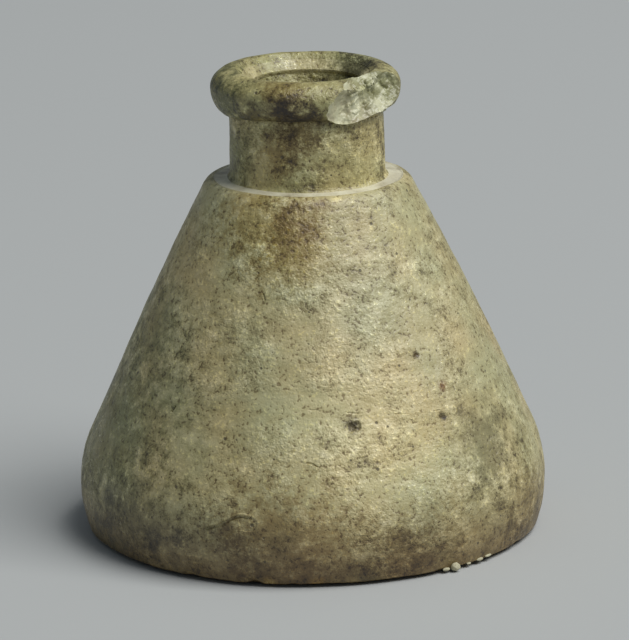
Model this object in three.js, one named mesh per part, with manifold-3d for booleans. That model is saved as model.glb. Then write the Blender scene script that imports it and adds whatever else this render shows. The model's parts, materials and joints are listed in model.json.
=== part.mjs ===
// A small conical bottle of thick old glass, covered all over by an olive-buff weathering crust.
// Millimetres, +Z up, origin at the middle of the circle that it stands on.
// The front, where the rim is chipped and grit sticks to the heel, faces -Y.
// The vessel is divided at the lines where its maker's work changes: bottom, wall, shoulder,
// neck, the rolled rim and the layer of glass that is folded down inside the mouth.

import * as THREE from 'three';
import { mergeVertices } from 'three/addons/utils/BufferGeometryUtils.js';
import Module from 'manifold-3d';

// Driving dimensions of the bottom
const baseEdgeRadius = 40.0;
const baseThickness = 5.0;
const kickRadius = 25.0;
const kickFlatRadius = 9.5;
const kickDepth = 2.4;

// Driving dimensions of the scar in the middle of the bottom
const scarOuterRadius = 8.0;
const scarInnerRadius = 4.5;
const scarHeight = 1.2;

// Driving dimensions of the wall: its heel stands proud of the bottom's edge, and the cone
// begins inside the widest part of the heel
const heelProud = 1.6;
const heelBulgeHeight = 9.0;
const coneFootInset = 1.9;
const coneFootHeight = 18.0;
const coneTopRadius = 19.0;
const coneTopHeight = 62.5;
const coneSwell = 0.5;
const wallThickness = 4.0;
const heelCove = 6.0;

// Driving dimensions of the shoulder and the neck
const shoulderDepth = 4.5;
const shoulderRise = 1.95;
const ledgeOuterRadius = 16.6;
const neckFootRadius = 13.9;
const neckTopRadius = 13.7;
const neckLength = 12.05;
const neckBoreRadius = 9.7;
const innerShoulderDrop = 2.6;

// How the cone rounds over to the ledge: the two middle points of the curve, as shares of its
// width and height
const edgeCurveStart = { inwards: 0.25, up: 0.7 };
const edgeCurveEnd = { inwards: 0.6, up: 1.0 };

// Driving dimensions of the rolled rim and the folded layer inside it
const rimHeight = 7.5;
const rimRadius = 16.8;
const rimBulgeHeight = 4.4;
const rimCrestRadius = 12.4;
const foldHeight = 3.3;
const foldThickness = 2.0;
const foldProud = 0.5;
const foldMouthSlope = 1.5;
const foldTopShare = 0.45;
const seatGap = 0.3;

// The chip in the rim: three scoops, each at a compass angle from the front towards +X, with
// its middle beyond the rim's widest part and over the rim's underside by so much, and its
// half sizes across, outwards and up
const chipScoops = [
  { angle: 40, beyond: 3.0, rise: 8.5, across: 12.0, outwards: 7.1, up: 13.5 },
  { angle: 20, beyond: 3.7, rise: 1.0, across: 8.0, outwards: 5.6, up: 4.2 },
  { angle: 66, beyond: 0.7, rise: 8.5, across: 7.5, outwards: 5.1, up: 7.0 },
];

// Grit that is stuck to the heel: angle from the front, height of its middle and half size
const heelGrains = [
  { angle: 36.7, height: 0.92, size: 0.75 },
  { angle: 34.2, height: 0.62, size: 0.45 },
  { angle: 41.5, height: 0.62, size: 0.42 },
  { angle: 45.3, height: 0.82, size: 0.4 },
  { angle: 48.3, height: 1.05, size: 0.36 },
];
const grainGap = 0.2;
const grainStretch = { across: 1.15, outwards: 0.9, up: 0.8 };

// How finely round shapes are stepped
const turnSteps = 48;
const arcSteps = 6;
const heelSteps = 6;
const coneSteps = 6;
const shortSteps = 3;
const scoopDetail = 5;
const grainDetail = 1;

// Radii and heights that follow from the driving dimensions
const heelBulgeRadius = baseEdgeRadius + heelProud;
const coneFootRadius = heelBulgeRadius - coneFootInset;
const ledgeHeight = coneTopHeight + shoulderRise;
const shoulderSplitHeight = coneTopHeight - shoulderDepth;
const rimUnderside = ledgeHeight + neckLength;
const rimTop = rimUnderside + rimHeight;
const foldSeatHeight = rimTop - foldHeight;
const foldInnerRadius = neckBoreRadius - foldProud;
const foldOuterRadius = foldInnerRadius + foldThickness;

const wasm = await Module();
wasm.setup();

const { lerp, degToRad } = THREE.MathUtils;

// Radius of the outside at a height: a heel that bulges, then a slightly swelling cone
function outerRadius(z) {
  if (z < heelBulgeHeight) {
    const below = 1 - z / heelBulgeHeight;
    return heelBulgeRadius - (heelBulgeRadius - baseEdgeRadius) * below ** 2;
  }
  const coneLength = coneTopHeight - coneFootHeight;
  if (z > coneFootHeight) {
    const t = (z - coneFootHeight) / coneLength;
    return lerp(coneFootRadius, coneTopRadius, t) + coneSwell * Math.sin(Math.PI * t);
  }
  const turn = coneFootHeight - heelBulgeHeight;
  const t = (z - heelBulgeHeight) / turn;
  const footSlope = (coneTopRadius - coneFootRadius + coneSwell * Math.PI) / coneLength;
  const blend = t * t * (3 - 2 * t);
  return lerp(heelBulgeRadius, coneFootRadius, blend) + footSlope * turn * t * t * (t - 1);
}

// Points [radius, height] up the outside between two heights, both included
function outsideBetween(low, high, steps) {
  return Array.from({ length: steps + 1 }, (_, i) => {
    const z = lerp(low, high, i / steps);
    return [outerRadius(z), z];
  });
}

// The same up the whole wall: short steps round the heel, long ones along the cone
function wallBetween(low, high) {
  const heel = outsideBetween(low, coneFootHeight, heelSteps);
  return [...heel, ...outsideBetween(coneFootHeight, high, coneSteps).slice(1)];
}

// Points on a quarter or other part of an ellipse about a middle, angles in degrees
function ellipseArc(middle, halfWidth, halfHeight, from, to, steps = arcSteps) {
  return Array.from({ length: steps + 1 }, (_, i) => {
    const angle = degToRad(lerp(from, to, i / steps));
    return [middle[0] + halfWidth * Math.cos(angle), middle[1] + halfHeight * Math.sin(angle)];
  });
}

// One closed geometry with shared vertices and no empty triangles
function closed(geometry) {
  geometry.deleteAttribute('normal');
  geometry.deleteAttribute('uv');
  const merged = mergeVertices(geometry, 1e-4);
  const corners = merged.index.array;
  const kept = [];
  for (let i = 0; i < corners.length; i += 3) {
    const [a, b, c] = corners.slice(i, i + 3);
    if (a !== b && b !== c && c !== a) {
      kept.push(a, b, c);
    }
  }
  merged.setIndex(kept);
  return merged;
}

// A body of turning about Z; its outline runs up the outside and down the inside
function turned(outline) {
  const points = outline.map(([radius, z]) => new THREE.Vector2(radius, z));
  const geometry = new THREE.LatheGeometry(points, turnSteps);
  geometry.rotateX(Math.PI / 2);
  return closed(geometry);
}

// A ring of turning, whose outline closes on its first point
function turnedRing(outline) {
  return turned([...outline, outline[0]]);
}

function toManifold(geometry) {
  const vertProperties = new Float32Array(geometry.attributes.position.array);
  const triVerts = new Uint32Array(geometry.index.array);
  return new wasm.Manifold(new wasm.Mesh({ numProp: 3, vertProperties, triVerts }));
}

function toGeometry(solid) {
  const { vertProperties, triVerts } = solid.getMesh();
  const geometry = new THREE.BufferGeometry();
  geometry.setAttribute('position', new THREE.BufferAttribute(vertProperties, 3));
  geometry.setIndex(new THREE.BufferAttribute(triVerts, 1));
  return geometry;
}

// Opaque weathering crust, in the tone that each part of the bottle has
function crust(color) {
  return new THREE.MeshStandardMaterial({ color, roughness: 0.75, metalness: 0 });
}

const bottle = new THREE.Group();

function add(name, geometry, color) {
  const mesh = new THREE.Mesh(geometry, crust(color));
  mesh.name = name;
  bottle.add(mesh);
  return mesh;
}

// The bottom: a slab whose underside is pushed up in a shallow kick with a flat middle
function baseDisc() {
  const kick = Array.from({ length: arcSteps + 1 }, (_, i) => {
    const t = i / arcSteps;
    const rise = kickDepth * (1 + Math.cos(Math.PI * t)) / 2;
    return [lerp(kickFlatRadius, kickRadius, t), rise];
  });
  const edge = outsideBetween(0, baseThickness, shortSteps);
  return turned([[0, kickDepth], ...kick, ...edge, [0, baseThickness]]);
}

// The ring-shaped scar of the rod that held the bottle while its rim was worked
function pontilScar() {
  const middle = (scarOuterRadius + scarInnerRadius) / 2;
  const halfWidth = (scarOuterRadius - scarInnerRadius) / 2;
  return turnedRing(ellipseArc([middle, kickDepth], halfWidth, scarHeight, -180, 0));
}

// The wall: bulged heel and cone, with a coved inside corner where it meets the bottom
function bodyWall() {
  const low = baseThickness;
  const high = shoulderSplitHeight;
  const coveTop = low + heelCove;
  const outside = wallBetween(low, high);
  const inside = wallBetween(coveTop, high)
    .map(([radius, z]) => [radius - wallThickness, z])
    .reverse();
  const coveMiddle = [outerRadius(coveTop) - wallThickness - heelCove, coveTop];
  const cove = ellipseArc(coveMiddle, heelCove, heelCove, 0, -90).slice(1);
  return turnedRing([...outside, ...inside, ...cove]);
}

// The shoulder: the cone's top rounds over to a narrow flat ledge about the neck's foot
function shoulderLedge() {
  const low = shoulderSplitHeight;
  const outside = outsideBetween(low, coneTopHeight, shortSteps);
  const onCurve = ({ inwards, up }) => new THREE.Vector2(
    lerp(coneTopRadius, ledgeOuterRadius, inwards),
    lerp(coneTopHeight, ledgeHeight, up),
  );
  const edge = new THREE.CubicBezierCurve(
    onCurve({ inwards: 0, up: 0 }),
    onCurve(edgeCurveStart),
    onCurve(edgeCurveEnd),
    onCurve({ inwards: 1, up: 1 }),
  ).getPoints(arcSteps).slice(1).map((p) => [p.x, p.y]);
  const innerFoot = outerRadius(low) - wallThickness;
  const innerHeight = ledgeHeight - innerShoulderDrop - low;
  const hollow = ellipseArc([neckBoreRadius, low], innerFoot - neckBoreRadius, innerHeight, 90, 0);
  return turnedRing([...outside, ...edge, [neckBoreRadius, ledgeHeight], ...hollow]);
}

// The neck: a short thick tube that stands on the ledge
function neckTube() {
  return turnedRing([
    [neckFootRadius, ledgeHeight],
    [neckTopRadius, rimUnderside],
    [neckBoreRadius, rimUnderside],
    [neckBoreRadius, ledgeHeight],
  ]);
}

// The rolled rim: a fat collar round the mouth, with a seat inside it for the folded layer,
// and a chip knocked out of its front right side
function rimRoll() {
  const widest = rimUnderside + rimBulgeHeight;
  const under = ellipseArc([neckTopRadius, widest], rimRadius - neckTopRadius, rimBulgeHeight, -90, 0);
  const over = ellipseArc([rimCrestRadius, widest], rimRadius - rimCrestRadius, rimTop - widest, 0, 90);
  const seatWall = foldOuterRadius + seatGap;
  const whole = toManifold(turnedRing([
    ...under,
    ...over.slice(1),
    [seatWall, rimTop],
    [seatWall, foldSeatHeight],
    [neckBoreRadius, foldSeatHeight],
    [neckBoreRadius, rimUnderside],
  ]));
  const chipped = chipScoops.reduce((solid, scoop) => {
    const shape = new THREE.IcosahedronGeometry(1, scoopDetail);
    shape.scale(scoop.across, scoop.outwards, scoop.up);
    shape.translate(0, -(rimRadius + scoop.beyond), rimUnderside + scoop.rise);
    shape.rotateZ(degToRad(scoop.angle));
    return solid.subtract(toManifold(closed(shape)));
  }, whole);
  return toGeometry(chipped);
}

// The edge of the glass, folded in and down: a ring on its seat inside the mouth, standing
// a little proud of the bore
function innerFold() {
  const top = rimTop - seatGap;
  return turnedRing([
    [foldInnerRadius + foldProud / 2, foldSeatHeight],
    [foldOuterRadius, foldSeatHeight],
    [foldOuterRadius, top],
    [lerp(foldOuterRadius, foldInnerRadius, foldTopShare), top],
    [foldInnerRadius + foldProud / 2, top - foldMouthSlope / 2],
    [foldInnerRadius, top - foldMouthSlope],
    [foldInnerRadius, foldSeatHeight + foldProud],
  ]);
}

// A lump of grit beside the heel, turned so that no two look alike
function heelGrain({ angle, height, size }, turn) {
  const shape = new THREE.IcosahedronGeometry(size, grainDetail);
  shape.rotateX(turn);
  shape.scale(grainStretch.across, grainStretch.outwards, grainStretch.up);
  const away = Math.max(outerRadius(height - size), outerRadius(height + size)) + grainGap + size;
  shape.translate(0, -away, height);
  shape.rotateZ(degToRad(angle));
  return closed(shape);
}

add('base_disc', baseDisc(), '#857a5a');
add('pontil_scar', pontilScar(), '#8f8767');
add('body_wall', bodyWall(), '#9a8f6a');
add('shoulder_ledge', shoulderLedge(), '#a39a78');
add('neck_tube', neckTube(), '#8d8260');
add('rim_roll', rimRoll(), '#958a66');
add('inner_fold', innerFold(), '#8b8463');
heelGrains.forEach((grain, i) => {
  add(`heel_grain_${i + 1}`, heelGrain(grain, i + 1), '#b5ac84');
});

export default bottle;
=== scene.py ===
# A small conical bottle of thick, pale green glass. Long burial has covered it with an opaque
# olive-buff crust, and a fresh chip in its rolled rim shows the glass inside.
import json
import math

import bmesh
import bpy
from mathutils import Matrix, Vector

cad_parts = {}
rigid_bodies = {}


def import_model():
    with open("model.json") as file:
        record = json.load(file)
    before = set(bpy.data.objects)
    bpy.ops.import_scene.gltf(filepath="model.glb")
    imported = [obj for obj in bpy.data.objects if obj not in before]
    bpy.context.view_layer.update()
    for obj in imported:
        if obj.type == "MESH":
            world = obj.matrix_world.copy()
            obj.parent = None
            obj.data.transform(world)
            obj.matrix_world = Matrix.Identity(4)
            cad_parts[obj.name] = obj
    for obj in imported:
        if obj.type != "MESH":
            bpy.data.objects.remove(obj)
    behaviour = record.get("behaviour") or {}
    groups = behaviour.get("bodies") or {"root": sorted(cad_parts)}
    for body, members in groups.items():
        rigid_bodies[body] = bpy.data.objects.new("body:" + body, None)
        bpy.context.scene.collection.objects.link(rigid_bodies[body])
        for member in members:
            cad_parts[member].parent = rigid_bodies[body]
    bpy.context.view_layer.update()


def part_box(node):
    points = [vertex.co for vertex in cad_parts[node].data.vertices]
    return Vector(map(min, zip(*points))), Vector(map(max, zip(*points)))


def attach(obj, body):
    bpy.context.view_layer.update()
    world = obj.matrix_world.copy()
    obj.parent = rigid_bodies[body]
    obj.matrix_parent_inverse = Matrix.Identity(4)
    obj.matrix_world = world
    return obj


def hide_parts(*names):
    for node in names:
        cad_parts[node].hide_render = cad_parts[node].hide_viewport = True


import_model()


# The bottom of the bottle: a slab of glass with a shallow kick pushed up under it, so that it
# stands on a broad ring just inside its nicked edge. It was pressed flat while hot.
MM = 0.001
BASE_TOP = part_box("base_disc")[1][2]
BASE_EDGE = 40.0 * MM
BASE_EDGE_ROUND = 0.35 * MM
KICK_FLAT = 9.5 * MM
KICK_RADIUS = 25.0 * MM
KICK_DEPTH = 2.4 * MM
HEEL_RADIUS = 41.6 * MM
HEEL_HEIGHT = 9.0 * MM
CONE_FOOT_RADIUS = 39.7 * MM
CONE_FOOT = 18.0 * MM
CONE_TOP_RADIUS = 19.0 * MM
CONE_TOP = 62.5 * MM
CONE_SWELL = 0.5 * MM
WALL = 4.0 * MM
COVE = 6.0 * MM
BODY_SIDES = 512
RING_STEP = 0.38 * MM
WELD = 0.001 * MM


def outer_radius(z):
    """Radius of the outside of the body at a height: a bulging heel, then a swelling cone."""
    if z < HEEL_HEIGHT:
        return HEEL_RADIUS - (HEEL_RADIUS - BASE_EDGE) * (1 - z / HEEL_HEIGHT) ** 2
    cone = CONE_TOP - CONE_FOOT
    if z > CONE_FOOT:
        t = (z - CONE_FOOT) / cone
        swell = CONE_SWELL * math.sin(math.pi * t)
        return CONE_FOOT_RADIUS + (CONE_TOP_RADIUS - CONE_FOOT_RADIUS) * t + swell
    turn = CONE_FOOT - HEEL_HEIGHT
    t = (z - HEEL_HEIGHT) / turn
    slope = (CONE_TOP_RADIUS - CONE_FOOT_RADIUS + CONE_SWELL * math.pi) / cone
    blend = t * t * (3 - 2 * t)
    return HEEL_RADIUS + (CONE_FOOT_RADIUS - HEEL_RADIUS) * blend + slope * turn * t * t * (t - 1)


def outside_between(low, high, step=RING_STEP):
    """Points (radius, height) up the outside from one height to another."""
    count = max(1, round((high - low) / step))
    heights = [low + (high - low) * i / count for i in range(count + 1)]
    return [(outer_radius(z), z) for z in heights]


def arc(middle, width, height, start, end, count):
    """Points on part of an ellipse about a middle, from one angle in degrees to another."""
    angles = [math.radians(start + (end - start) * i / count) for i in range(count + 1)]
    return [(middle[0] + width * math.cos(a), middle[1] + height * math.sin(a)) for a in angles]


def spun_shell(name, outline, sides):
    """One point is drawn along an outline of (radius, height) and spun round the axis."""
    bpy.ops.object.select_all(action="DESELECT")
    bpy.ops.mesh.primitive_plane_add(size=MM, location=(outline[0][0], 0, outline[0][1]))
    shell = bpy.context.object
    shell.name = name
    shell.data.name = name
    bpy.ops.object.transform_apply(location=True, rotation=False, scale=False)
    bpy.ops.object.mode_set(mode="EDIT")
    bpy.ops.mesh.select_mode(type="VERT")
    bpy.ops.mesh.select_all(action="SELECT")
    bpy.ops.mesh.merge(type="CENTER")
    for (r0, z0), (r1, z1) in zip(outline, outline[1:]):
        bpy.ops.mesh.extrude_vertices_move(TRANSFORM_OT_translate={"value": (r1 - r0, 0, z1 - z0)})
    bpy.ops.mesh.select_all(action="SELECT")
    bpy.ops.mesh.spin(steps=sides, angle=2 * math.pi, center=(0, 0, 0), axis=(0, 0, 1))
    bpy.ops.mesh.select_all(action="SELECT")
    bpy.ops.mesh.remove_doubles(threshold=WELD)
    bpy.ops.mesh.normals_make_consistent(inside=False)
    bpy.ops.object.mode_set(mode="OBJECT")
    return shell


def roughen(shell, name, size, depth):
    """Moves the surface in and out by a cloudy pattern of a real size, by up to depth in all."""
    texture = bpy.data.textures.new(name, type="CLOUDS")
    texture.noise_scale = size
    displace = shell.modifiers.new(name, "DISPLACE")
    displace.texture = texture
    displace.texture_coords = "LOCAL"
    displace.strength = depth
    displace.mid_level = 0.5
    bpy.ops.object.modifier_apply(modifier=name)


def swell(shell, name, middle, reach, move):
    """Moves the surface round one place along the axes, most in the middle, as if by hand."""
    weights = shell.vertex_groups.new(name=name)
    for point in shell.data.vertices:
        near = max(0, 1 - ((point.co - middle).length / reach) ** 2)
        if near > 0:
            weights.add([point.index], near * near, "REPLACE")
    for axis, amount in zip("XYZ", move):
        if amount:
            displace = shell.modifiers.new(name, "DISPLACE")
            displace.direction = axis
            displace.strength = amount
            displace.mid_level = 0
            displace.vertex_group = name
            bpy.ops.object.modifier_apply(modifier=name)
    shell.vertex_groups.clear()


def hand_made(shell):
    """The unevenness of glass blown and tooled by hand, the same on pieces that meet. The heel
    bulges a little more on the left."""
    swell(shell, "fuller_heel", Vector((-41 * MM, 0, 4 * MM)), 22 * MM, (-0.55 * MM, 0, 0))
    roughen(shell, "wavering_wall", 22 * MM, 0.5 * MM)
    roughen(shell, "uneven_crust", 5.5 * MM, 0.16 * MM)
    roughen(shell, "crust_grain", 1.6 * MM, 0.07 * MM)


def choose(shell, wanted):
    """In edit mode, selects only the points of the mesh for which wanted(place) is true."""
    bpy.ops.mesh.select_all(action="DESELECT")
    bpy.ops.mesh.select_mode(type="VERT")
    edit = bmesh.from_edit_mesh(shell.data)
    for point in edit.verts:
        point.select = wanted(point.co)
    edit.select_flush(True)
    bmesh.update_edit_mesh(shell.data)


def choose_open_edge(shell, near_height):
    """In edit mode, selects the open edge loop that lies about a height."""
    bpy.ops.mesh.select_all(action="DESELECT")
    bpy.ops.mesh.select_mode(type="EDGE")
    edit = bmesh.from_edit_mesh(shell.data)
    for edge in edit.edges:
        middle = (edge.verts[0].co.z + edge.verts[1].co.z) / 2
        if edge.is_boundary and abs(middle - near_height) < MM:
            edge.select_set(True)
    bmesh.update_edit_mesh(shell.data)


def draw_loop(shell, from_radius, to_radius, rise):
    """Extrudes the selected loop and draws it to another radius and height."""
    edit = bmesh.from_edit_mesh(shell.data)
    chosen = [v.co.z for v in edit.verts if v.select]
    height = sum(chosen) / len(chosen) + rise
    bpy.ops.mesh.extrude_edges_move(TRANSFORM_OT_translate={"value": (0, 0, rise)})
    size = to_radius / from_radius
    bpy.ops.transform.resize(value=(size, size, 1), center_override=(0, 0, height))


def finish_piece(piece, node, smooth=32):
    """Smooth faces with sharp corners; the piece stands for its solid and rides with it."""
    bpy.ops.object.mode_set(mode="OBJECT")
    bpy.ops.object.shade_smooth_by_angle(angle=math.radians(smooth))
    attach(piece, "root")
    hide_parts(node)


def linear(hex_colour):
    """An sRGB colour such as #a89f7c as linear red, green, blue and alpha."""
    parts = [int(hex_colour[i:i + 2], 16) / 255 for i in (1, 3, 5)]
    return [p / 12.92 if p <= 0.04045 else ((p + 0.055) / 1.055) ** 2.4 for p in parts] + [1.0]


def add_node(tree, kind, inputs=(), **settings):
    """Adds a shader node with its settings; inputs holds values or sockets, by name or number."""
    node = tree.nodes.new("ShaderNode" + kind)
    for name, value in settings.items():
        setattr(node, name, value)
    for key, value in dict(inputs).items():
        if isinstance(value, bpy.types.NodeSocket):
            tree.links.new(value, node.inputs[key])
        else:
            node.inputs[key].default_value = value
    return node


STAIN_RAGGED = 2.6
STAIN_ENDS = 2.3
STAIN_FULL = 1.5


def stain_and_paint_light(tree, colour, place, broken_by, stains_and_painted_light):
    """Stains, and painted light and shade, in their places, with edges broken up by a noise
    from 0 to 1. A mark is a place, a reach, how it blends and a hue: soil and painted shade
    multiply the colour, bleached places and painted light dodge it. The noise is about 0.5, so
    a mark is full up to a fifth of its reach and ends at its reach."""
    for where, reach, blend, hue in stains_and_painted_light:
        away = add_node(tree, "VectorMath", {0: place, 1: where}, operation="DISTANCE")
        broken = add_node(tree, "Math", {0: broken_by, 1: reach * STAIN_RAGGED,
                                         2: away.outputs["Value"]}, operation="MULTIPLY_ADD")
        inside = add_node(tree, "MapRange", {"Value": broken.outputs[0],
                                             "From Min": reach * STAIN_ENDS,
                                             "From Max": reach * STAIN_FULL},
                          interpolation_type="SMOOTHSTEP")
        colour = add_node(tree, "Mix", {0: inside.outputs[0], 6: colour, 7: linear(hue)},
                          data_type="RGBA", blend_type=blend).outputs[2]
    return colour


def weathered_crust(name, stains_and_painted_light=(), tone_of_piece="#ffffff", mottling=1.0):
    """Burial crust on glass: chalky decayed glass bound with soil. It gives an opaque olive buff
    with a dull satin face, clouded by soil, crowded with dark specks, and with glints where
    flakes of the decayed glass lie bare."""
    material = bpy.data.materials.new(name)
    material.use_nodes = True
    tree = material.node_tree
    shader = tree.nodes["Principled BSDF"]
    place = add_node(tree, "TexCoord").outputs["Object"]
    axes = add_node(tree, "SeparateXYZ", {"Vector": place})

    # Mottles from 3 mm down to 0.1 mm go from brown soil to pale chalk. They are fainter where
    # the crust is worn smooth, in patches some 9 mm wide and over the whole left side
    clouds = add_node(tree, "TexNoise", {"Vector": place, "Scale": 1 / (13 * MM), "Detail": 3.0})
    worn = add_node(tree, "TexNoise", {"Vector": place, "Scale": 1 / (9 * MM), "Detail": 2.0})
    mottle = add_node(tree, "TexNoise", {"Vector": place, "Scale": 1 / (3.2 * MM), "Detail": 5.0,
                                         "Roughness": 0.84})
    specks = add_node(tree, "TexNoise", {"Vector": place, "Scale": 1 / (0.62 * MM), "Detail": 1.5})
    contrast = add_node(tree, "MapRange", {"Value": worn.outputs["Fac"], "From Min": 0.38,
                                           "From Max": 0.6, "To Min": 0.85 * mottling,
                                           "To Max": 0.35 * mottling})
    left = add_node(tree, "MapRange", {"Value": axes.outputs["X"], "From Min": -30 * MM,
                                       "From Max": 12 * MM, "To Min": 0.62, "To Max": 1.0})
    contrast = add_node(tree, "Math", {0: contrast.outputs[0], 1: left.outputs[0]},
                        operation="MULTIPLY")
    uneven = add_node(tree, "Math", {0: mottle.outputs["Fac"], 1: -0.5}, operation="ADD")
    uneven = add_node(tree, "Math", {0: uneven.outputs[0], 1: contrast.outputs[0], 2: 0.5},
                      operation="MULTIPLY_ADD")

    # Faint lines run round the bottle, 0.9 mm apart, from its turning
    turned = add_node(tree, "Mapping", {"Vector": place, "Scale": (0.1, 0.1, 1)})
    lines = add_node(tree, "TexNoise", {"Vector": turned.outputs[0], "Scale": 1 / (1.8 * MM),
                                        "Detail": 3.0, "Roughness": 0.6})
    lined = add_node(tree, "Math", {0: lines.outputs["Fac"], 1: 0.12, 2: uneven.outputs[0]},
                     operation="MULTIPLY_ADD")
    tone = add_node(tree, "ValToRGB", {"Fac": lined.outputs[0]})
    stops = tone.color_ramp.elements
    stops[0].position = 0.44
    stops[0].color = linear("#766e4c")
    stops[1].position = 0.69
    stops[1].color = linear("#ddd8b8")
    for position, hue in ((0.51, "#9f966c"), (0.56, "#b4ad84"), (0.62, "#c6c09a")):
        stops.new(position).color = linear(hue)
    wide = add_node(tree, "MapRange", {"Value": clouds.outputs["Fac"], "From Min": 0.35,
                                       "From Max": 0.65})
    tint = add_node(tree, "Mix", {0: wide.outputs[0], 6: linear("#f4f6ec"), 7: linear("#fef2de")},
                    data_type="RGBA")
    colour = add_node(tree, "Mix", {0: 1.0, 6: tone.outputs["Color"], 7: tint.outputs[2]},
                      data_type="RGBA", blend_type="MULTIPLY").outputs[2]
    colour = add_node(tree, "Mix", {0: 1.0, 6: colour, 7: linear(tone_of_piece)},
                      data_type="RGBA", blend_type="MULTIPLY").outputs[2]

    # Soil has darkened the foot, up to a ragged edge some 14 mm from the ground
    ragged = add_node(tree, "Math", {0: clouds.outputs["Fac"], 1: 14 * MM, 2: axes.outputs["Z"]},
                      operation="MULTIPLY_ADD")
    ragged = add_node(tree, "Math", {0: mottle.outputs["Fac"], 1: 9 * MM, 2: ragged.outputs[0]},
                      operation="MULTIPLY_ADD")
    foot = add_node(tree, "MapRange", {"Value": ragged.outputs[0], "From Min": 27 * MM,
                                       "From Max": 12 * MM}, interpolation_type="SMOOTHSTEP")
    colour = add_node(tree, "Mix", {0: foot.outputs[0], 6: colour, 7: linear("#ae9a80")},
                      data_type="RGBA", blend_type="MULTIPLY").outputs[2]

    # Stains, and painted light and shade, from the list given with each piece
    colour = stain_and_paint_light(tree, colour, place, mottle.outputs["Fac"], stains_and_painted_light)

    # Dark soil specks and pale flakes 0.2 to 0.5 mm wide, crowded together where the mottle is
    # brown or pale
    soil = add_node(tree, "Math", {0: mottle.outputs["Fac"], 1: 0.6, 2: specks.outputs["Fac"]},
                    operation="MULTIPLY_ADD")
    soil_mask = add_node(tree, "MapRange", {"Value": soil.outputs[0], "From Min": 0.67,
                                            "From Max": 0.62, "To Max": 0.75})
    colour = add_node(tree, "Mix", {0: soil_mask.outputs[0], 6: colour, 7: linear("#978768")},
                      data_type="RGBA", blend_type="MULTIPLY").outputs[2]
    flake = add_node(tree, "MapRange", {"Value": soil.outputs[0], "From Min": 0.93,
                                        "From Max": 0.98})
    colour = add_node(tree, "Mix", {0: flake.outputs[0], 6: colour, 7: linear("#8c8c82")},
                      data_type="RGBA", blend_type="DODGE").outputs[2]

    # Open pits in few of the cells of a 2.2 mm pattern
    cells = add_node(tree, "TexVoronoi", {"Vector": place, "Scale": 1 / (2.2 * MM)})
    chosen = add_node(tree, "SeparateColor", {"Color": cells.outputs["Color"]})
    width = add_node(tree, "MapRange", {"Value": chosen.outputs[0], "From Min": 0.6,
                                        "From Max": 1.0, "To Max": 0.15})
    depth = add_node(tree, "Math", {0: cells.outputs["Distance"], 1: width.outputs[0]},
                     operation="SUBTRACT")
    pit_mask = add_node(tree, "MapRange", {"Value": depth.outputs[0], "From Min": 0.02,
                                           "From Max": -0.04, "To Max": 0.8})
    colour = add_node(tree, "Mix", {0: pit_mask.outputs[0], 6: colour, 7: linear("#473e28")},
                      data_type="RGBA").outputs[2]
    tree.links.new(colour, shader.inputs["Base Color"])

    # A dull satin, glossier where it is worn and glassy on the bare flakes
    dull = add_node(tree, "MapRange", {"Value": worn.outputs["Fac"], "From Min": 0.38,
                                       "From Max": 0.6, "To Min": 0.56, "To Max": 0.44})
    rough = add_node(tree, "Math", {0: flake.outputs[0], 1: -0.3, 2: dull.outputs[0]},
                     operation="MULTIPLY_ADD")
    tree.links.new(rough.outputs[0], shader.inputs["Roughness"])
    shader.inputs["Specular IOR Level"].default_value = 0.8

    # Relief: mottle, specks and turning lines, sunk where soil specks and pits are
    relief = add_node(tree, "Math", {0: specks.outputs["Fac"], 1: 0.7, 2: mottle.outputs["Fac"]},
                      operation="MULTIPLY_ADD")
    relief = add_node(tree, "Math", {0: lines.outputs["Fac"], 1: 0.5, 2: relief.outputs[0]},
                      operation="MULTIPLY_ADD")
    relief = add_node(tree, "Math", {0: pit_mask.outputs[0], 1: -0.6, 2: relief.outputs[0]},
                      operation="MULTIPLY_ADD")
    relief = add_node(tree, "Math", {0: relief.outputs[0], 1: contrast.outputs[0]},
                      operation="MULTIPLY")
    bump = add_node(tree, "Bump", {"Strength": 0.8, "Distance": 0.7 * MM,
                                   "Height": relief.outputs[0]})
    tree.links.new(bump.outputs["Normal"], shader.inputs["Normal"])
    return material


def on_body(degrees, height):
    """A place on the outside of the body, at an angle from the front towards +X."""
    angle = math.radians(degrees)
    radius = outer_radius(height)
    return Vector((radius * math.sin(angle), -radius * math.cos(angle), height))


# Soil and painted shade multiply a colour; bleached places and painted light, such as sheen and
# glints, dodge it
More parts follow.
